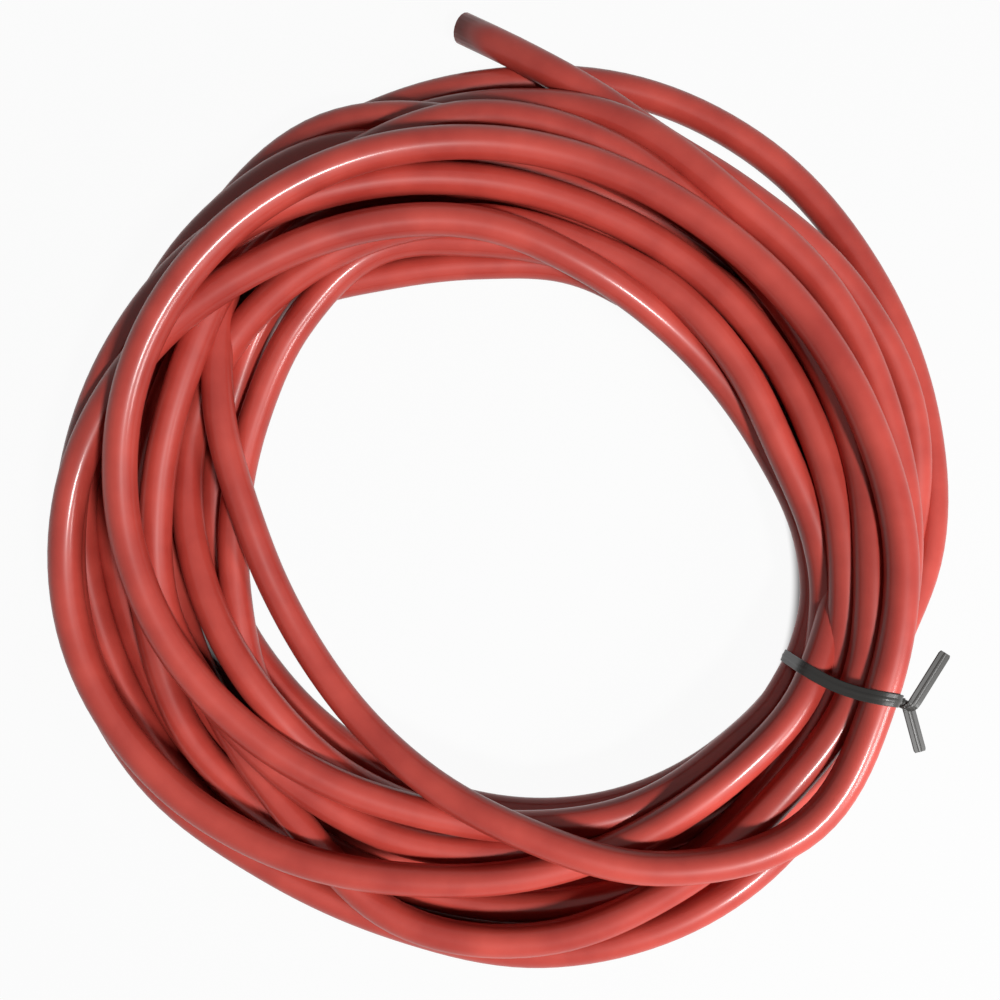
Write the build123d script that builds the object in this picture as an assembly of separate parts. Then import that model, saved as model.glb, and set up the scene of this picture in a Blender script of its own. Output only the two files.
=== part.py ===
"""Rubber gas tubing, wound into a loose coil and held by one twist tie.

The coil lies flat on the XY plane with +Z up. Places round it are given as a clock angle, 0 at +Y and growing
clockwise as seen from above, with a distance from the middle of the coil. All lengths are millimetres.
"""
from build123d import *
from math import cos, radians, sin, tan
import os

# Tubing
BORE = 8.0
WALL = 2.0
TUBE_OD = BORE + 2 * WALL

# Pile of turns: its height, its two sides, and how round its edges are above and below
PILE_HEIGHT = 52.0
PILE_OUTSIDE = 172.0
PILE_INSIDE = 105.0
PILE_TOP_ROUND = 15.0
PILE_FOOT_ROUND = 4.0

# Waist of the pile under the twist tie: place round the coil, its two sides, and how deep the tie bites
TIE_CLOCK = 115.0
WAIST_INSIDE = 122.0
WAIST_OUTSIDE = 168.0
TIE_BITE = 0.6

# How far the loose pile stands out from its two sides, or in where less than nothing, by clock angle
OUTSIDE_BULGE = [
    (0, -4), (20, -3), (38, -7), (55, 1), (78, 1), (98, -2), (133, 1), (153, 4), (175, 0), (193, -6),
    (210, -6), (228, 0), (243, 4), (258, 6), (273, 3), (290, -4), (308, -4), (333, 3),
]
INSIDE_BULGE = [
    (0, -9), (25, -8), (50, -10), (75, -4), (97, 8), (135, 14), (160, 9), (182, 5), (205, 0), (230, -1),
    (255, -3), (280, -6), (305, -2), (325, 2), (342, -6),
]

# Loose outer loop, on the floor outside the pile: clock angle and distance of its centre line
OUTER_LOOP = [(334, 161), (350, 173), (6, 182), (22, 186), (38, 184), (54, 178), (70, 168)]

# Loose inner strand, which crosses the open middle: clock angle, distance and height of its centre line
INNER_STRAND = [
    (172, 121, 30), (190, 111, 27), (206, 99, 21), (223, 92, 17), (241, 91, 15), (259, 95, 17),
    (276, 104, 21), (291, 117, 25),
]

# Free end: clock angle, distance and height of its centre line, from the open mouth into the pile
FREE_END = [(-4.8, 204.4, 5.8), (0.8, 189.5, 14.4), (7, 177.5, 20.6), (13.5, 169, 22.8), (20.5, 162, 23.6)]

# Twist tie: a strip once round the waist, twisted on itself on the outer side, with two tails
TIE_WIDTH = 4.8
TIE_THICKNESS = 1.0
TWIST_BELOW_ROUND = 4.0
TWIST_LENGTH = 7.0
TWIST_TURN = 360.0
TAIL_STUB = 2.5
TAIL_BEND = 3.0
TAIL_BACK_TURN = -69.0
TAIL_BACK_LENGTH = 20.0
TAIL_ONWARD_TURN = 50.0
TAIL_ONWARD_LENGTH = 16.0

# The twist stands on the straight part of the side, under the round of the top
TWIST_HEIGHT = PILE_HEIGHT - PILE_TOP_ROUND - TWIST_BELOW_ROUND

# An arc of a path takes this share of the shorter run beside it, a round this share of its wall at most
ARC_SHARE = 0.45
ROUND_SHARE = 0.45


def at_clock(clock, distance, height=0.0):
    """Point at a clock angle and a distance from the middle of the coil."""
    turn = radians(clock)
    return Vector(distance * sin(turn), distance * cos(turn), height)


def onward(clock):
    """Direction clockwise round the coil at a clock angle."""
    turn = radians(clock)
    return Vector(cos(turn), -sin(turn), 0)


def side_face(side, bulges, waist):
    """Flat face inside a smooth closed outline that follows a side's bulges and its waist under the tie."""
    stations = sorted([(clock, side + bulge) for clock, bulge in bulges] + [(TIE_CLOCK, waist)])
    return make_face(Spline(*[at_clock(*station) for station in stations], periodic=True))


def runs_and_arcs(name, points):
    """Path of straight runs joined by tangent arcs, each as large as its two runs allow."""
    radii = []
    for before, corner, after in zip(points, points[1:], points[2:]):
        arriving = corner - before
        leaving = after - corner
        half_turn = radians(arriving.get_angle(leaving)) / 2
        radii.append(ARC_SHARE * min(arriving.length, leaving.length) / tan(half_turn))
    print(name, "arc radii", [round(radius) for radius in radii])
    return FilletPolyline(*points, radius=radii)


def rod_along(path, diameter):
    """Round rod that follows a path."""
    start = Plane(origin=path @ 0, z_dir=path % 0)
    return sweep(start * Circle(diameter / 2), path=path)


def checked_tube(name, path, rod):
    """Prints a rod's volume beside its section times its length, which should agree."""
    section = 3.14159 * (TUBE_OD / 2) ** 2
    print(name, "length", round(path.length, 1), "volume", round(rod.volume / (section * path.length), 4))
    return rod


def make_pile():
    """Closed ring of the outer shape of the turns, flat underneath and rounded on top."""
    outline = side_face(PILE_OUTSIDE, OUTSIDE_BULGE, WAIST_OUTSIDE + TIE_BITE)
    hole = side_face(PILE_INSIDE, INSIDE_BULGE, WAIST_INSIDE - TIE_BITE)
    ring = extrude(outline - hole, amount=PILE_HEIGHT)
    ring = fillet(ring.edges().group_by(Axis.Z)[-1], radius=PILE_TOP_ROUND)
    return fillet(ring.edges().group_by(Axis.Z)[0], radius=PILE_FOOT_ROUND)


def make_outer_loop():
    """Loose outermost turn, lying on the floor."""
    height = TUBE_OD / 2
    path = runs_and_arcs("outer loop", [at_clock(clock, distance, height) for clock, distance in OUTER_LOOP])
    return checked_tube("outer loop", path, rod_along(path, TUBE_OD))


def make_inner_strand():
    """Loose innermost strand, which leaves the pile and comes back to it across the open middle."""
    path = runs_and_arcs("inner strand", [at_clock(*station) for station in INNER_STRAND])
    return checked_tube("inner strand", path, rod_along(path, TUBE_OD))


def make_free_end(coil):
    """Hollow end of the tubing, from its open mouth to the face where it meets the coil."""
    path = runs_and_arcs("free end", [at_clock(*station) for station in FREE_END])
    outside = checked_tube("free end", path, rod_along(path, TUBE_OD))
    return outside - rod_along(path, BORE) - coil


def across_waist(section):
    """Solid of the tie's width from a flat section of the waist, drawn outward along X and up along Y."""
    section_plane = Plane(origin=(0, 0, 0), x_dir=at_clock(TIE_CLOCK, 1), z_dir=onward(TIE_CLOCK))
    return extrude(section_plane * section, amount=TIE_WIDTH / 2, both=True)


def waist_section(inside, outside, low, high, top_round, foot_round):
    """Section of the waist between two sides and two heights, with rounded corners."""
    section = Pos((inside + outside) / 2, (low + high) / 2) * Rectangle(outside - inside, high - low)
    top_round = min(top_round, ROUND_SHARE * (outside - inside))
    section = fillet(section.vertices().group_by(Axis.Y)[-1], radius=top_round)
    return fillet(section.vertices().group_by(Axis.Y)[0], radius=foot_round)


def make_waist():
    """The pile inside the tie, lifted off the floor by the strip that passes under it."""
    return across_waist(waist_section(
        WAIST_INSIDE, WAIST_OUTSIDE, TIE_THICKNESS, PILE_HEIGHT - TIE_BITE, PILE_TOP_ROUND, PILE_FOOT_ROUND))


def make_tie_loop():
    """Strip once round the waist, flush with the floor underneath."""
    around = across_waist(waist_section(
        WAIST_INSIDE - TIE_THICKNESS, WAIST_OUTSIDE + TIE_THICKNESS,
        0, PILE_HEIGHT - TIE_BITE + TIE_THICKNESS,
        PILE_TOP_ROUND + TIE_THICKNESS, PILE_FOOT_ROUND + TIE_THICKNESS))
    return around - make_waist()


def make_tie_twist():
    """Two ends of the strip laid together and twisted on each other, pointing away from the coil."""
    start = at_clock(TIE_CLOCK, WAIST_OUTSIDE + TIE_THICKNESS / 2, TWIST_HEIGHT)
    outward = at_clock(TIE_CLOCK, 1)
    both_ends = Rectangle(TIE_WIDTH, 2 * TIE_THICKNESS)
    section = Plane(origin=start, x_dir=onward(TIE_CLOCK), z_dir=outward) * both_ends
    return Solid.extrude_linear_with_rotation(section.face(), start, outward * TWIST_LENGTH, TWIST_TURN)


def make_tie_tail(turn, length, height):
    """Flat end of the strip that leaves the twist and bends away by a turn."""
    twist_end = WAIST_OUTSIDE + TIE_THICKNESS / 2 + TWIST_LENGTH
    root = at_clock(TIE_CLOCK, twist_end)
    corner = at_clock(TIE_CLOCK, twist_end + TAIL_STUB)
    middle_line = FilletPolyline(root, corner, corner + at_clock(TIE_CLOCK + turn, length), radius=TAIL_BEND)
    return Pos(0, 0, height) * extrude(trace(middle_line, TIE_WIDTH), amount=TIE_THICKNESS)


def make_twist_tie():
    """The whole tie: loop, twist and two tails in one piece."""
    tail_back = make_tie_tail(TAIL_BACK_TURN, TAIL_BACK_LENGTH, TWIST_HEIGHT)
    tail_onward = make_tie_tail(TAIL_ONWARD_TURN, TAIL_ONWARD_LENGTH, TWIST_HEIGHT - TIE_THICKNESS)
    return make_tie_loop() + make_tie_twist() + tail_back + tail_onward


def make_coil():
    """Pile of turns with its two loose strands and its waist under the tie."""
    turns = make_pile() + make_outer_loop() + make_inner_strand()
    cut_width = WAIST_OUTSIDE - WAIST_INSIDE + 2 * TUBE_OD
    cut = across_waist(Pos((WAIST_INSIDE + WAIST_OUTSIDE) / 2) * Rectangle(cut_width, 3 * PILE_HEIGHT))
    return turns - cut + make_waist()


coil = make_coil()
free_end = make_free_end(coil)
twist_tie = make_twist_tie()
pieces = {"tubing_coil": coil, "tubing_free_end": free_end, "twist_tie": twist_tie}

# The middle of the whole part's box goes to the origin
boxes = [piece.bounding_box() for piece in pieces.values()]
middle_x = (min(box.min.X for box in boxes) + max(box.max.X for box in boxes)) / 2
middle_y = (min(box.min.Y for box in boxes) + max(box.max.Y for box in boxes)) / 2
to_origin = Pos(-middle_x, -middle_y, 0)
print("middle of the coil at", -middle_x, -middle_y, "lowest", [round(box.min.Z, 3) for box in boxes])

# The open end for the record: middle of its straight bore, the way it faces, and the straight bore's length
mouth, second = (at_clock(*station) for station in FREE_END[:2])
straight = (1 - ARC_SHARE) * (second - mouth).length
facing = (mouth - second).normalized()
print("open end at", to_origin.position + mouth - facing * straight / 2, "facing", facing)
print("straight bore", straight)

os.makedirs("parts", exist_ok=True)
for name, piece in pieces.items():
    export_step(to_origin * piece, f"parts/{name}.step")
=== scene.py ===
"""Rubber gas tubing in a loose coil, held by a twist tie, seen from straight above on a white table.

Places round the coil are given as in the CAD source: a clock angle, 0 at +Y and growing clockwise from
above, and a distance from the middle of the coil. The coil is given in the photograph's own pixels, turn by
turn, and a layer number says how high in the pile it lies. The turns are then settled on each other and
followed by one spline. Lengths are metres, and angles in tables are degrees, where nothing else is said.
"""

import bpy
import numpy as np
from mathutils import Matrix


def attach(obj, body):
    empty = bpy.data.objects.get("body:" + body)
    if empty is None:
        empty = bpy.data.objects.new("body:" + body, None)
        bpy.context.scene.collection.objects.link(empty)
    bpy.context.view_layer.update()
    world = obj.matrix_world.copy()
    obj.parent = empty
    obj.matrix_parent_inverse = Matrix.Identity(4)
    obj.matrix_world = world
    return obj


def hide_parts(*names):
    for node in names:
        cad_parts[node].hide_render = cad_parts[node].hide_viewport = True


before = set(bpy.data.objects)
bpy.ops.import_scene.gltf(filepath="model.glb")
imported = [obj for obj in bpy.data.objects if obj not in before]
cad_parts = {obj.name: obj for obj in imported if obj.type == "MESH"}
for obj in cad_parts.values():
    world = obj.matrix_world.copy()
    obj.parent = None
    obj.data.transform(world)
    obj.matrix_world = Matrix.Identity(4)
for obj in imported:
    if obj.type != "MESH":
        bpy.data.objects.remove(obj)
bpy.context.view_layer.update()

# The middle of the coil in the frame, in metres, as the CAD source prints it
MIDDLE = np.array([-0.000362, -0.018654, 0.0])

# Tubing and twist tie, in metres
TUBE = 0.012
BORE = 0.008
TUBE_SIDES = 20
STRIP_WIDTH = 0.0048
STRIP_THICKNESS = 0.0010
TIE_CLOCK = 115.0

# Camera: height over the table, in pixels of the photograph its focal length, width and view axis, and the
# width of its sensor in millimetres
CAMERA_HEIGHT = 0.361
FOCAL = 866.0
PHOTO = 1000.0
AXIS_PX = (505.0, 525.0)
SENSOR = 36.0

# Height of one layer of the pile, and the step between points along the tubing, in degrees of clock
LAYER = 0.0104
STEP = 4.0

# How far before the last listed place the tubing ends, out of sight in the pile, in degrees
LAST_END_BACK = 8.0

# How near two centre lines of soft tube may come, by what share nearer where the tie squeezes them, and over
# how many degrees to each side it does
CONTACT = 0.0113
SQUEEZE_SHARE = 0.08
SQUEEZE_REACH = 12

# Nearest and furthest distance from the middle at which a centre line passes under the tie
TIE_INSIDE = 0.1285
TIE_OUTSIDE = 0.160

# Settling: number of rounds, how near in plan two points are looked at, and how many steps along the tubing
# they must be apart to count as two strands
ROUNDS = 600
LOOK_ROUND = 2.5 * TUBE
STEPS_APART = 14

# A point is hidden where a strand that was read higher by COVER_RISE shows nearer than this share of that
# strand's width
COVER_SHARE = 0.55
COVER_RISE = LAYER / 3

# Points at the far end that are held as seen ones are, and the degrees over which the free end is let go
FAR_END_POINTS = 16
LET_GO = 8

# How stiff the tubing is up and down and to the sides, how strongly seen points keep their place, and by how
# much less hidden ones do
STIFF_UP = 8.0
STIFF_ASIDE = 12.0
HOLD_SEEN = 0.3
HOLD_LESS_HIDDEN = 0.296

# Pushes: how near along a strand a point counts, in steps, the least share of a push that goes up, how many
# times its mean push a point moves, and the share of its sideways push that a seen point takes
BESIDE = 0.6
LEAST_UP = 0.35
PUSH_GAIN = 1.5
SEEN_ASIDE = 0.05

# Share of its rise over its read height that a point sinks in each round: the last one, and more in the first
SINK_LAST = 0.004
SINK_MORE = 0.02


def add_object(name, data):
    """New object in the scene that shows a mesh, a camera or a light."""
    made = bpy.data.objects.new(name, data)
    bpy.context.scene.collection.objects.link(made)
    return made


# Camera, straight above the middle of the coil
camera_data = bpy.data.cameras.new("camera")
camera_data.sensor_width = SENSOR
camera_data.lens = SENSOR * FOCAL / PHOTO
camera_data.shift_x = (PHOTO / 2 - AXIS_PX[0]) / PHOTO
camera_data.shift_y = (AXIS_PX[1] - PHOTO / 2) / PHOTO
camera = add_object("camera", camera_data)
camera.location = (MIDDLE[0], MIDDLE[1], CAMERA_HEIGHT)
bpy.context.scene.camera = camera


# Free end of the tubing, from its open mouth to where it meets the pile: clock angle, distance and height, as
# in the CAD source
FREE_END = [
    (-4.8, 0.2044, 0.0058), (0.8, 0.1895, 0.0144), (7, 0.1775, 0.0206), (13.5, 0.1690, 0.0228),
    (20.5, 0.1620, 0.0236),
]

# From there under the pile to the tie: clock angle, distance in pixels and layer
LEAD_IN = [(35, 407, 1.9), (55, 416.5, 1.9), (75, 423, 2), (95, 409, 1.9)]

# Each turn of the coil, once round clockwise from the tie in steps of 20 degrees: distances in pixels, then
# layers
TURN_STEP = 20
TURNS = [
    ([383, 408, 412, 398, 383, 378, 380, 385, 392, 392, 396, 409, 433, 451.5, 452, 441, 432.5, 425.5],
     [1, 1, 1, 1, 1, 1, 1, 1, 1, 1, 1, 1, 1, 1, 1, 1, 1, 1.4]),
    ([408, 421, 430, 427, 412.5, 414, 432, 436, 428, 417, 402, 373, 346.5, 327.5, 319, 318, 323.5, 340],
     [2.1, 2, 2, 2, 2, 2, 1.8, 1.6, 2.2, 2.4, 3.2, 3.2, 3, 3, 3, 3.2, 3.2, 3.2]),
    ([361, 372, 386, 382, 374, 369, 378.5, 368.5, 364.5, 365, 369.5, 361, 338, 314.5, 318, 328.5, 326, 332],
     [3.1, 2.9, 2.2, 2, 2, 1.7, 2, 2, 2, 2.2, 1.6, 2, 2, 2, 2, 2, 2, 2.3]),
    ([338, 335.5, 338.5, 349, 367, 398, 428, 443.5, 434, 402, 361, 330, 303, 274, 259, 259, 273, 305],
     [3.8, 3.7, 3.4, 3.1, 3.2, 3, 2.8, 2.6, 2.8, 3.2, 4, 3.8, 3.4, 3, 2.2, 1.9, 2, 2.2]),
    ([329, 320.5, 313, 302, 298, 311, 334, 362, 386, 402.5, 405.5, 398, 384.5, 371, 363, 366, 377.5, 398],
     [2.3, 2.7, 3, 3, 3, 3.4, 3.8, 4, 4, 4.2, 4.4, 4.2, 4.1, 4.2, 4.2, 4.1, 4.1, 4]),
    ([413, 427.5, 379, 313, 270, 243.5, 232.5, 238.5, 264, 316.5, 377.5, 407.5, 419, 420.5, 397.5,
      398.5, 397, 407],
     [4, 4, 4, 4, 3, 1.8, 1.6, 1.8, 2.8, 3, 2.3, 2, 2, 2.8, 3, 2.8, 2.8, 2.9]),
    ([417, 414, 438.5, 426, 408, 405, 410, 416, 422, 412, 420, 414.5, 368, 345, 342, 345, 350, 346],
     [3.1, 2.8, 1, 1, 1, 1, 1, 1.2, 1.4, 1.2, 2.2, 3, 2, 1.5, 1, 1, 1, 1]),
    ([353, 346, 336, 326, 311, 300, 295, 278, 270, 273, 289.5, 306, 288, 279, 274, 272, 284, 308],
     [1, 1, 1, 1, 1, 1.6, 1.8, 1.8, 1.8, 1.6, 2, 2, 1.8, 2, 2, 1.4, 1, 1]),
    ([322, 314, 306, 297, 288, 281, 282, 289.5, 292.5, 299, 313, 304, 291, 294, 298, 300, 310, 322],
     [1, 1, 1, 1, 1, 1, 1, 1, 1, 1.4, 1.3, 1, 1, 1, 1, 1, 1, 1.4]),
    ([357, 378, 378, 365, 350, 345, 350, 358, 370, 395, 421, 435.5, 400, 362, 352, 352, 368, 378],
     [2, 1.4, 1, 1, 1, 1, 1, 1, 1, 1.3, 1.2, 2, 2.6, 2, 2, 2, 1.6, 1.5]),
    ([386, 358, 333, 306, 292, 295, 297.5, 306, 319, 329.5, 327, 316, 302, 287, 286, 283.5, 287, 313],
     [2, 2, 2, 2, 2, 2, 2.7, 2, 1.8, 1.8, 2.3, 2.6, 2.4, 2, 2.3, 2.7, 3, 3.1]),
    ([331, 328, 322, 321, 331, 332, 338.5, 351.5, 349, 355, 377, 396, 410, 392, 364, 355, 358, 366.5],
     [3, 2.2, 2, 2.2, 2.6, 2.5, 2.7, 3, 3, 3.4, 3.1, 3, 3.4, 3.5, 3, 3, 3, 3.6]),
    ([387, 386.5, 399, 415.5, 408, 362, 340, 335, 333, 328, 308, 276, 262, 264, 259],
     [3.9, 3.7, 3, 3, 3, 2.7, 1.8, 1.5, 1, 1, 1, 1, 1, 1, 1]),
]


def layer_height(layer):
    """Height of a centre line: half a tube for layer 1, and one layer's height more for each one above."""
    return TUBE / 2 + LAYER * (layer - 1)


def ray_distance(pixels, height):
    """Distance from the camera's axis of what shows at a distance in pixels and lies at a height."""
    return pixels * (CAMERA_HEIGHT - height) / FOCAL


def read_place(clock, pixels, layer):
    """Clock angle, distance and height of a place that was read in pixels and layers."""
    height = layer_height(layer)
    return clock, ray_distance(pixels, height), height


def hand_read_stations():
    """All listed places in one array: clock angle growing along the tubing, distance and height."""
    places = list(FREE_END)
    places += [read_place(*place) for place in LEAD_IN]
    clock = TIE_CLOCK
    for distances, layers in TURNS:
        for pixels, layer in zip(distances, layers):
            places.append(read_place(clock, pixels, layer))
            clock += TURN_STEP
    return np.array(places, dtype=float).T


def smooth_between(x, y, at):
    """Values at new places on a smooth curve through (x, y).

    Each step is a cubic piece, which takes its slope at both ends from the neighbouring places.
    """
    slope = np.gradient(y, x)
    k = np.clip(np.searchsorted(x, at, side="right") - 1, 0, len(x) - 2)
    step = x[k + 1] - x[k]
    t = (at - x[k]) / step
    rise = y[k] * (1 + 2 * t) * (1 - t) ** 2 + y[k + 1] * t ** 2 * (3 - 2 * t)
    return rise + step * t * (1 - t) * (slope[k] * (1 - t) - slope[k + 1] * t)


def outward(clock):
    """Unit vectors in plan that point away from the middle at clock angles in degrees."""
    turn = np.radians(clock)
    return np.stack([np.sin(turn), np.cos(turn)], axis=1)


def stiffness_inverse(count, stiffness, hold):
    """Matrix that gives the line which bends least near a given one.

    It is the inverse of 1 + hold + stiffness * D'D. D takes second differences, so D'D is the bending energy,
    and hold draws values back to nothing.
    """
    bend = np.zeros((count - 2, count))
    row = np.arange(count - 2)
    bend[row, row] = 1
    bend[row, row + 1] = -2
    bend[row, row + 2] = 1
    return np.linalg.inv(np.diag(1 + hold) + stiffness * bend.T @ bend)


class Pile:
    """Points along the tubing, free to move along their camera rays and to shift a little in or out."""

    def __init__(self):
        stations = hand_read_stations()
        last = stations[0][-1] - LAST_END_BACK
        self.clock = np.append(np.arange(stations[0][0], last, STEP), last)
        self.height = smooth_between(stations[0], stations[2], self.clock)
        distance = smooth_between(stations[0], stations[1], self.clock)
        self.pixels = distance * FOCAL / (CAMERA_HEIGHT - self.height)
        self.read_height = self.height.copy()
        self.shift = np.zeros_like(self.height)
        self.out = outward(self.clock)

    def plan(self):
        """Places in plan: distance along the camera ray at this height, plus the shift."""
        return self.out * (ray_distance(self.pixels, self.height) + self.shift)[:, None]

    def points(self):
        """Places in the frame."""
        return np.column_stack([self.plan(), self.height]) + MIDDLE


def directions(plan):
    """Unit directions of a line at its points, from the points on both sides."""
    ahead = np.vstack([plan[1:], plan[-1:]])
    behind = np.vstack([plan[:1], plan[:-1]])
    along = ahead - behind
    return along / np.linalg.norm(along, axis=1)[:, None]


def hidden_share(pile):
    """1 where another part of the tubing lies over a point as the camera sees it, 0 where nothing does."""
    seen = pile.out * pile.pixels[:, None]
    width = TUBE * FOCAL / (CAMERA_HEIGHT - pile.height)
    apart = np.linalg.norm(seen[:, None] - seen[None], axis=2)
    over = pile.read_height[None] > pile.read_height[:, None] + COVER_RISE
    covered = (apart < COVER_SHARE * width[None]) & over
    hidden = covered.any(axis=1).astype(float)
    hidden[-FAR_END_POINTS:] = 0
    return hidden


def close_pairs(pile):
    """Pairs of points on two strands that are near in plan, with 1 or -1 for which was read higher."""
    plan = pile.plan()
    one, two = np.nonzero(np.linalg.norm(plan[:, None] - plan[None], axis=2) < LOOK_ROUND)
    apart = np.abs(one - two) > STEPS_APART
    one, two = one[apart], two[apart]
    read_rise = pile.read_height[one] - pile.read_height[two]
    order = np.where(np.abs(read_rise) > LAYER / 4, np.sign(read_rise), 0)
    return one, two, order


def pushes(pile, pairs, spacing, squeeze):
    """Sums of the pushes up and outward that each point gets, and the number of them.

    Two strands push where the middles of their sections are nearer than CONTACT. Each takes half of what is
    missing, along the line between the two middles, with at least LEAST_UP of it upward.
    """
    one, two, order = pairs
    plan = pile.plan()
    along = directions(plan)
    offset = plan[one] - plan[two]
    ahead = (offset * along[two]).sum(axis=1)
    across = offset[:, 0] * along[two, 1] - offset[:, 1] * along[two, 0]
    near = (np.abs(ahead) < BESIDE * spacing) & (np.abs(across) < CONTACT)
    a, b, side, way = one[near], two[near], across[near], order[near]
    rise = pile.height[a] - pile.height[b]
    way = np.where(way == 0, np.sign(rise + 1e-9), way)
    rise = rise * way
    distance = np.hypot(side, np.maximum(rise, 0))
    allowed = CONTACT * (1 - SQUEEZE_SHARE * squeeze[a])
    missing = np.maximum(allowed - distance, 0) + np.maximum(-rise, 0)
    up = np.where(rise > 0, np.maximum(rise / np.maximum(distance, 1e-5), LEAST_UP), 1.0)
    outwards = along[b, 1] * pile.out[a, 0] - along[b, 0] * pile.out[a, 1]
    sideways = np.sign(side) * np.sqrt(1 - up ** 2) * outwards
    lift = np.zeros_like(pile.height)
    spread = np.zeros_like(pile.height)
    touching = np.zeros_like(pile.height)
    np.add.at(lift, a, missing * up * way / 2)
    np.add.at(lift, b, -missing * up * way / 2)
    np.add.at(spread, a, missing * sideways / 2)
    np.add.at(spread, b, -missing * sideways / 2)
    np.add.at(touching, np.concatenate([a, b]), np.tile(missing > 0, 2))
    return lift, spread, np.maximum(touching, 1)


def settle(pile):
    """Parts the strands until they only touch, each pair keeping the order of height it was read with.

    In each round every point goes PUSH_GAIN times the mean of its pushes and sinks a little towards its read
    height. The whole line is then made to bend as little as it can, which keeps it a stiff tube. It stays
    over the table or the strip under it, the free end keeps its chosen points, and the tie holds its width.
    """
    count = len(pile.height)
    pairs = close_pairs(pile)
    hidden = hidden_share(pile)
    spacing = np.linalg.norm(np.diff(pile.plan(), axis=0), axis=1).mean()
    held = np.clip((FREE_END[3][0] - pile.clock) / LET_GO, 0, 1)
    from_tie = (pile.clock - TIE_CLOCK + 180) % 360 - 180
    squeeze = np.exp(-(from_tie / SQUEEZE_REACH) ** 2)
    lowest = TUBE / 2 + STRIP_THICKNESS * squeeze
    side_share = SEEN_ASIDE + (1 - SEEN_ASIDE) * hidden
    stiff_height = stiffness_inverse(count, STIFF_UP, np.zeros(count))
    stiff_shift = stiffness_inverse(count, STIFF_ASIDE, HOLD_SEEN - HOLD_LESS_HIDDEN * hidden)
    for k in range(ROUNDS):
        lift, spread, touching = pushes(pile, pairs, spacing, squeeze)
        sink = (SINK_LAST + SINK_MORE * (1 - k / ROUNDS)) * (pile.height - pile.read_height)
        pile.height = stiff_height @ (pile.height + PUSH_GAIN * lift / touching - sink)
        pile.shift = stiff_shift @ (pile.shift + side_share * PUSH_GAIN * spread / touching)
        pile.height = np.maximum(pile.height, lowest)
        pile.height -= held * (pile.height - pile.read_height)
        pile.shift *= 1 - held
        from_middle = np.linalg.norm(pile.plan(), axis=1)
        pile.shift -= squeeze * (from_middle - np.clip(from_middle, TIE_INSIDE, TIE_OUTSIDE))
    return pile


def spline_through(points):
    """Points read from one smooth spline that passes close to all the given points.

    Its control points are the given ones moved out by an eighth of their second difference.
    """
    control = points.copy()
    control[1:-1] -= (points[2:] - 2 * points[1:-1] + points[:-2]) / 8
    curve = bpy.data.curves.new("centre_line", "CURVE")
    curve.dimensions = "3D"
    curve.resolution_u = 2
    line = curve.splines.new("NURBS")
    line.points.add(len(control) - 1)
    line.points.foreach_set("co", np.column_stack([control, np.ones(len(control))]).ravel())
    line.order_u = 3
    line.use_endpoint_u = True
    holder = bpy.data.objects.new("centre_line", curve)
    read = bpy.data.meshes.new_from_object(holder)
    places = np.empty(3 * len(read.vertices))
    read.vertices.foreach_get("co", places)
    bpy.data.objects.remove(holder)
    bpy.data.meshes.remove(read)
    return places.reshape(-1, 3)


def side_vectors(path):
    """Level sideways and steep upward unit vectors at each point of a path that never stands upright."""
    tangent = directions(path)
    level = np.column_stack([-tangent[:, 1], tangent[:, 0], np.zeros(len(path))])
    level /= np.linalg.norm(level, axis=1)[:, None]
    return level, np.cross(tangent, level)


def rings_round(path, radius, sides):
    """Rings of points round a path: the cosine of each side's angle sideways and its sine upward."""
    level, steep = side_vectors(path)
    turn = np.linspace(0, 2 * np.pi, sides, endpoint=False)
    round_it = np.cos(turn)[None, :, None] * level[:, None] + np.sin(turn)[None, :, None] * steep[:, None]
    return path[:, None] + radius * round_it


def ring_faces(rings, sides, first):
    """Four-sided faces between rings of points that start at a number, facing away from the path."""
    ring, side = np.meshgrid(np.arange(rings - 1), np.arange(sides), indexing="ij")
    here = first + ring * sides + side
    beside = first + ring * sides + (side + 1) % sides
    return np.stack([here, beside, beside + sides, here + sides], axis=-1).reshape(-1, 4)


def map_outer_wall(mesh, path, sides):
    """UV map of the outer wall: 0 to 1 once round the tube, and metres along it. The bore has none."""
    ring, side = np.meshgrid(np.arange(len(path) - 1), np.arange(sides), indexing="ij")
    along = np.append(0, np.cumsum(np.linalg.norm(np.diff(path, axis=0), axis=1)))
    corners = np.array([[0, 0], [0, 1], [1, 1], [1, 0]])
    wall_corners = 4 * ring.size
    uv = np.zeros((len(mesh.loops), 2))
    uv[:wall_corners, 0] = (side[..., None] + corners[:, 1]).ravel() / sides
    uv[:wall_corners, 1] = along[(ring[..., None] + corners[:, 0]).ravel()]
    mesh.uv_layers.new(name="round_and_along").data.foreach_set("uv", uv.ravel())


def hollow_tube(name, path, outside, inside, sides):
    """Closed mesh of a tube with a bore right through it and a flat ring at each end."""
    outer = rings_round(path, outside / 2, sides)
    inner = rings_round(path, inside / 2, sides)
    rings = len(path)
    bore = rings * sides
    last = (rings - 1) * sides
    side = np.arange(sides)
    beside = (side + 1) % sides
    first_end = np.stack([side, bore + side, bore + beside, beside], axis=-1)
    last_end = np.stack([last + beside, bore + last + beside, bore + last + side, last + side], axis=-1)
    walls = [ring_faces(rings, sides, 0), ring_faces(rings, sides, bore)[:, ::-1]]
    faces = np.concatenate(walls + [first_end, last_end])
    places = np.concatenate([outer.reshape(-1, 3), inner.reshape(-1, 3)])
    mesh = bpy.data.meshes.new(name)
    mesh.from_pydata(places.tolist(), [], faces.tolist())
    mesh.polygons.foreach_set("use_smooth", np.arange(len(faces)) < 2 * last)
    map_outer_wall(mesh, path, sides)
    mesh.update()
    return add_object(name, mesh)


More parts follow.
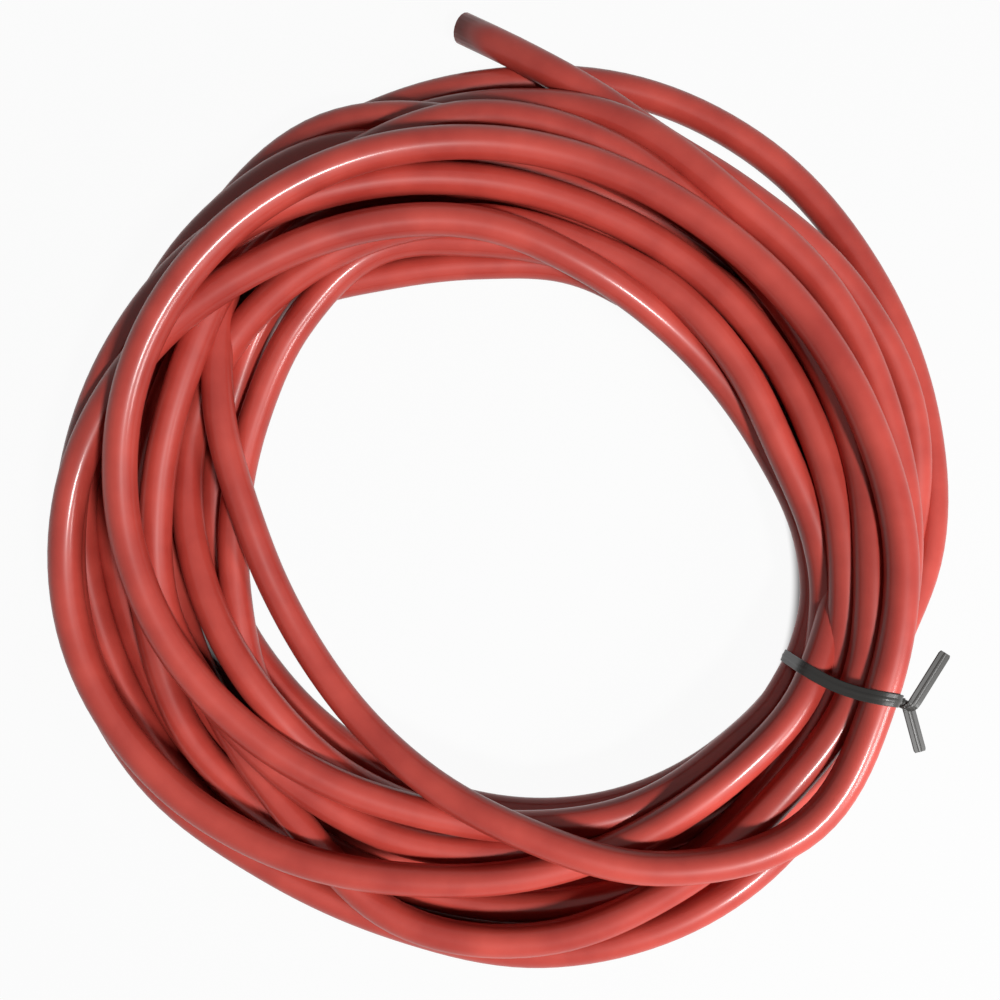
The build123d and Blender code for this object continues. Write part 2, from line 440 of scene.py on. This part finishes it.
pile = settle(Pile())
centre_line = spline_through(pile.points())
tubing = hollow_tube("tubing", centre_line, TUBE, BORE, TUBE_SIDES)
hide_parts("tubing_coil", "tubing_free_end")
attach(tubing, "root")


# The twist on the outer side of the bundle, and the two tails: turn in plan from straight out, and length
TWIST_HEIGHT = 0.030
TWIST_LENGTH = 0.0075
TWIST_TURNS = 1
TWIST_RADIUS = 1.6 * STRIP_THICKNESS
TAILS = [(83, 0.0250), (-50, 0.0188)]

# How far the strip bows onward over the bundle, and how far back its outer side lies
STRIP_BOW = 0.0033
STRIP_SKEW = 0.0026

# Upper half of the strip's section, in half widths across and thicknesses up: thin edges, and a rib for the
# wire. Then the share of their width that the cut tips keep.
RIB_ACROSS = np.array([-1.0, -0.9, -0.35, -0.2, 0, 0.2, 0.35, 0.9, 1.0])
RIB_UP = np.array([0.12, 0.28, 0.28, 0.42, 0.5, 0.42, 0.28, 0.28, 0.12])
TIP_NARROW = 0.85


def bundle_outline(count=720):
    """Middle of the strip round the bundle under the tie: distance and height, from the outer side upwards.

    For each direction it takes the strand that reaches furthest that way, and the point of its round that
    does.
    """
    crossings = TIE_CLOCK + 360 * np.arange(len(TURNS))
    distance = np.interp(crossings, pile.clock, np.linalg.norm(pile.plan(), axis=1))
    height = np.interp(crossings, pile.clock, pile.height)
    turn = np.linspace(0, 2 * np.pi, count, endpoint=False)
    way = np.column_stack([np.cos(turn), np.sin(turn)])
    centres = np.column_stack([distance, height])
    furthest = np.argmax(way @ centres.T, axis=1)
    return centres[furthest] + (TUBE / 2 + STRIP_THICKNESS / 2) * way


def even_points(line, spacing):
    """The same line through evenly spaced points."""
    length = np.append(0, np.cumsum(np.linalg.norm(np.diff(line, axis=0), axis=1)))
    at = np.linspace(0, length[-1], max(2, round(length[-1] / spacing)))
    return np.column_stack([np.interp(at, length, line[:, k]) for k in range(line.shape[1])])


def softened(line, rounds):
    """A line whose inner points are moved to the mean of themselves and their neighbours, several times."""
    for _ in range(rounds):
        line = np.vstack([line[:1], (line[:-2] + 2 * line[1:-1] + line[2:]) / 4, line[-1:]])
    return line


def strip_end(start, side, turn, length):
    """Middle line and width directions of one end of the strip: its half of the twist, then its flat tail.

    The twist is a helix of TWIST_RADIUS about a line straight out from its start.
    """
    along = np.linspace(0, 1, 15)
    angle = np.pi / 2 + 2 * np.pi * TWIST_TURNS * along
    offset = side * TWIST_RADIUS
    twist = np.column_stack([start[0] + TWIST_LENGTH * along, offset * np.cos(angle) - STRIP_SKEW,
                             start[1] + offset * np.sin(angle)])
    twist_width = np.column_stack([0 * along, np.sin(angle), -np.cos(angle)])
    heading = np.radians(turn)
    reach = np.linspace(0, length, 24)[1:]
    tail = twist[-1] + np.column_stack([reach * np.cos(heading), reach * np.sin(-heading), 0 * reach])
    tail_width = np.tile([np.sin(heading), np.cos(heading), 0.0], (len(reach), 1))
    return np.vstack([twist, tail]), np.vstack([twist_width, tail_width])


def strip_line():
    """Middle line of the whole strip and its width directions, from one tail's tip to the other's.

    Local places are distance outward, distance onward and height. Once round the bundle the strip bows onward
    by the sine of its share of the seen width. Both ends leave side by side, are wound round each other, and
    then bend away.
    """
    outline = bundle_outline()
    first = np.argmin(np.abs(outline[:, 1] - TWIST_HEIGHT) - 10 * outline[:, 0])
    loop = np.roll(outline, -first, axis=0)
    loop = even_points(np.vstack([loop, loop[:1]]), 0.001)[2:-2]
    seen = loop[:, 0] / (CAMERA_HEIGHT - loop[:, 1])
    share = (seen - seen.min()) / (seen.max() - seen.min())
    bowed = STRIP_BOW * np.sin(np.pi * share) - STRIP_SKEW * share
    loop = np.column_stack([loop[:, 0], bowed, loop[:, 1]])
    loop_width = np.tile([0.0, 1.0, 0.0], (len(loop), 1))
    start = (outline[first, 0] + STRIP_THICKNESS, outline[first, 1])
    upper_line, upper_width = strip_end(start, 1, *TAILS[0])
    lower_line, lower_width = strip_end(start, -1, *TAILS[1])
    line = np.vstack([upper_line[::-1], loop, lower_line])
    width = np.vstack([upper_width[::-1], loop_width, lower_width])
    return softened(line, 4), softened(width, 4)


def strip_mesh(name):
    """Closed mesh of the flat strip with a round rib down its middle, where its wire is.

    Each ring is the section's places across times the width direction, plus its places up times the normal.
    """
    line, width = strip_line()
    out = outward(np.array([TIE_CLOCK]))[0]
    on = outward(np.array([TIE_CLOCK + 90]))[0]
    frame_axes = np.array([[out[0], out[1], 0], [on[0], on[1], 0], [0, 0, 1.0]])
    line = line @ frame_axes + MIDDLE
    width = width @ frame_axes
    tangent = directions(line)
    width -= (width * tangent).sum(axis=1)[:, None] * tangent
    width /= np.linalg.norm(width, axis=1)[:, None]
    normal = np.cross(tangent, width)
    across = RIB_ACROSS * (STRIP_WIDTH / 2)
    thick = RIB_UP * STRIP_THICKNESS
    section = np.vstack([np.column_stack([across, thick]), np.column_stack([across, -thick])[::-1]])
    narrow = np.ones((len(line), 1, 1))
    narrow[[0, -1]] = TIP_NARROW
    rings = line[:, None] + narrow * section[None, :, :1] * width[:, None]
    rings = rings + section[None, :, 1:] * normal[:, None]
    sides = len(section)
    last = (len(line) - 1) * sides
    faces = ring_faces(len(line), sides, 0).tolist()
    faces += [list(range(sides))[::-1], list(range(last, last + sides))]
    mesh = bpy.data.meshes.new(name)
    mesh.from_pydata(rings.reshape(-1, 3).tolist(), [], faces)
    mesh.update()
    return add_object(name, mesh)


tie = strip_mesh("tie_strip")
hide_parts("twist_tie")
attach(tie, "root")


def new_material(name):
    """New material with its nodes, its links and its shader."""
    material = bpy.data.materials.new(name)
    material.use_nodes = True
    nodes = material.node_tree.nodes
    return material, nodes, material.node_tree.links, nodes["Principled BSDF"]


def noise(nodes, links, place, scale, detail):
    """Noise that reads its place from a socket."""
    made = nodes.new("ShaderNodeTexNoise")
    made.inputs["Scale"].default_value = scale
    made.inputs["Detail"].default_value = detail
    links.new(place, made.inputs["Vector"])
    return made.outputs["Fac"]


def rubber_material():
    """Brick-red satin rubber: fine lines along it from the die, slow changes of shade, and a duller bloom."""
    material, nodes, links, shader = new_material("red_rubber")
    place = nodes.new("ShaderNodeTexCoord")
    stretched = nodes.new("ShaderNodeMapping")
    stretched.inputs["Scale"].default_value = (48, 9, 1)
    links.new(place.outputs["UV"], stretched.inputs["Vector"])
    bump = nodes.new("ShaderNodeBump")
    bump.inputs["Strength"].default_value = 0.25
    bump.inputs["Distance"].default_value = 0.00006
    links.new(noise(nodes, links, stretched.outputs["Vector"], 1.0, 3.0), bump.inputs["Height"])
    links.new(bump.outputs["Normal"], shader.inputs["Normal"])
    bloom = noise(nodes, links, place.outputs["Object"], 38.0, 5.0)
    shade = nodes.new("ShaderNodeValToRGB")
    shade.color_ramp.elements[0].position = 0.30
    shade.color_ramp.elements[0].color = (0.31, 0.029, 0.021, 1)
    shade.color_ramp.elements[1].position = 0.72
    shade.color_ramp.elements[1].color = (0.46, 0.058, 0.042, 1)
    links.new(bloom, shade.inputs["Fac"])
    links.new(shade.outputs["Color"], shader.inputs["Base Color"])
    dull = nodes.new("ShaderNodeMapRange")
    dull.inputs["To Min"].default_value = 0.34
    dull.inputs["To Max"].default_value = 0.48
    links.new(bloom, dull.inputs["Value"])
    links.new(dull.outputs["Result"], shader.inputs["Roughness"])
    shader.inputs["Specular IOR Level"].default_value = 0.25
    shader.inputs["Coat Weight"].default_value = 0.25
    shader.inputs["Coat Roughness"].default_value = 0.15
    return material


def tie_material():
    """Dark grey satin plastic over wire."""
    material, _, _, shader = new_material("grey_plastic")
    shader.inputs["Base Color"].default_value = (0.030, 0.029, 0.027, 1)
    shader.inputs["Roughness"].default_value = 0.36
    shader.inputs["Specular IOR Level"].default_value = 0.25
    return material


tubing.data.materials.append(rubber_material())
tie.data.materials.append(tie_material())


# Half the table's side, and the share of plain white glow in what the camera and mirrors see of it. The glow
# fades out under the pile, so the grey card shows darker there: painted shade where the pile's shade falls.
# It fades between two multiples of an oval open middle, given by its place, half axes and turn, and between
# two distances from the coil's middle.
TABLE_HALF = 3.0
WHITE_SHARE = 0.95
OPEN_MIDDLE = MIDDLE + (0.0, -0.0088, 0)
OPEN_HALF_AXES = (0.1209, 0.1067, 1)
OPEN_TURN = -np.pi / 4
INNER_SHADE_BAND = (1.04, 1.09)
OUTER_SHADE_BAND = (0.170, 0.177)


def maths(nodes, links, operation, first, second):
    """Result of one operation on two sockets."""
    made = nodes.new("ShaderNodeMath")
    made.operation = operation
    links.new(first, made.inputs[0])
    links.new(second, made.inputs[1])
    return made.outputs["Value"]


def seen_or_mirrored(nodes, links):
    """Socket that is 1 for camera, glossy and transmission rays and 0 for those that carry light."""
    rays = nodes.new("ShaderNodeLightPath").outputs
    seen = maths(nodes, links, "MAXIMUM", rays["Is Camera Ray"], rays["Is Glossy Ray"])
    return maths(nodes, links, "MAXIMUM", seen, rays["Is Transmission Ray"])


def oval_fade(nodes, links, place, oval, band, shares):
    """Share that goes smoothly from one value to another across a band of multiples of an oval."""
    middle, half_axes, turn = oval
    inside = nodes.new("ShaderNodeMapping")
    inside.vector_type = "TEXTURE"
    inside.inputs["Location"].default_value = middle
    inside.inputs["Rotation"].default_value = (0, 0, turn)
    inside.inputs["Scale"].default_value = half_axes
    links.new(place, inside.inputs["Vector"])
    distance = nodes.new("ShaderNodeVectorMath")
    distance.operation = "LENGTH"
    links.new(inside.outputs["Vector"], distance.inputs[0])
    fade = nodes.new("ShaderNodeMapRange")
    fade.interpolation_type = "SMOOTHSTEP"
    for socket, value in zip(("From Min", "From Max", "To Min", "To Max"), band + shares):
        fade.inputs[socket].default_value = value
    links.new(distance.outputs["Value"], fade.inputs["Value"])
    return fade.outputs["Result"]


def card_material():
    """Matt grey card that glows plain white for the camera and mirrors, but not under the pile: painted shade
    there.
    """
    material, nodes, links, shader = new_material("card_glow_painted_shade_under_pile")
    shader.inputs["Base Color"].default_value = (0.34, 0.34, 0.34, 1)
    shader.inputs["Roughness"].default_value = 0.9
    shader.inputs["Specular IOR Level"].default_value = 0.1
    place = nodes.new("ShaderNodeNewGeometry").outputs["Position"]
    open_middle = (OPEN_MIDDLE, OPEN_HALF_AXES, OPEN_TURN)
    whole_coil = (MIDDLE, (1, 1, 1), 0)
    # The white glow fades out under the pile and leaves the darker grey card there as painted shade.
    inner = oval_fade(nodes, links, place, open_middle, INNER_SHADE_BAND, (WHITE_SHARE, 0))
    outer = oval_fade(nodes, links, place, whole_coil, OUTER_SHADE_BAND, (0, WHITE_SHARE))
    share = maths(nodes, links, "ADD", inner, outer)
    seen = maths(nodes, links, "MULTIPLY", seen_or_mirrored(nodes, links), share)
    white = nodes.new("ShaderNodeEmission")
    mix = nodes.new("ShaderNodeMixShader")
    links.new(seen, mix.inputs["Fac"])
    links.new(shader.outputs["BSDF"], mix.inputs[1])
    links.new(white.outputs["Emission"], mix.inputs[2])
    links.new(mix.outputs["Shader"], nodes["Material Output"].inputs["Surface"])
    return material


def white_table():
    """Plain square table under everything."""
    corners = [(x * TABLE_HALF, y * TABLE_HALF, 0) for x, y in ((-1, -1), (1, -1), (1, 1), (-1, 1))]
    mesh = bpy.data.meshes.new("table")
    mesh.from_pydata(corners, [], [(0, 1, 2, 3)])
    mesh.materials.append(card_material())
    add_object("table", mesh)


def area_light(name, place, size, watts):
    """Square soft light at a place, aimed at the origin."""
    data = bpy.data.lights.new(name, "AREA")
    data.size = size
    data.energy = watts
    made = add_object(name, data)
    made.location = place
    x, y, z = place
    made.rotation_euler = (np.arctan2(np.hypot(x, y), z), 0, np.arctan2(x, -y))


def white_room():
    """World that is plain white where it is seen or mirrored, and gives only a little light."""
    world = bpy.data.worlds.new("room")
    world.use_nodes = True
    nodes = world.node_tree.nodes
    links = world.node_tree.links
    dim = nodes["Background"]
    dim.inputs["Color"].default_value = (1, 1, 1, 1)
    dim.inputs["Strength"].default_value = 0.03
    plain = nodes.new("ShaderNodeBackground")
    plain.inputs["Color"].default_value = (1, 1, 1, 1)
    choice = nodes.new("ShaderNodeMixShader")
    links.new(seen_or_mirrored(nodes, links), choice.inputs["Fac"])
    links.new(dim.outputs["Background"], choice.inputs[1])
    links.new(plain.outputs["Background"], choice.inputs[2])
    links.new(choice.outputs["Shader"], nodes["World Output"].inputs["Surface"])
    return world


white_table()
area_light("window", (0.32, -0.34, 0.78), 0.11, 8.4)
area_light("side", (0.50, -0.30, 0.40), 0.16, 2.8)
bpy.context.scene.world = white_room()
bpy.context.scene.view_settings.view_transform = "Standard"
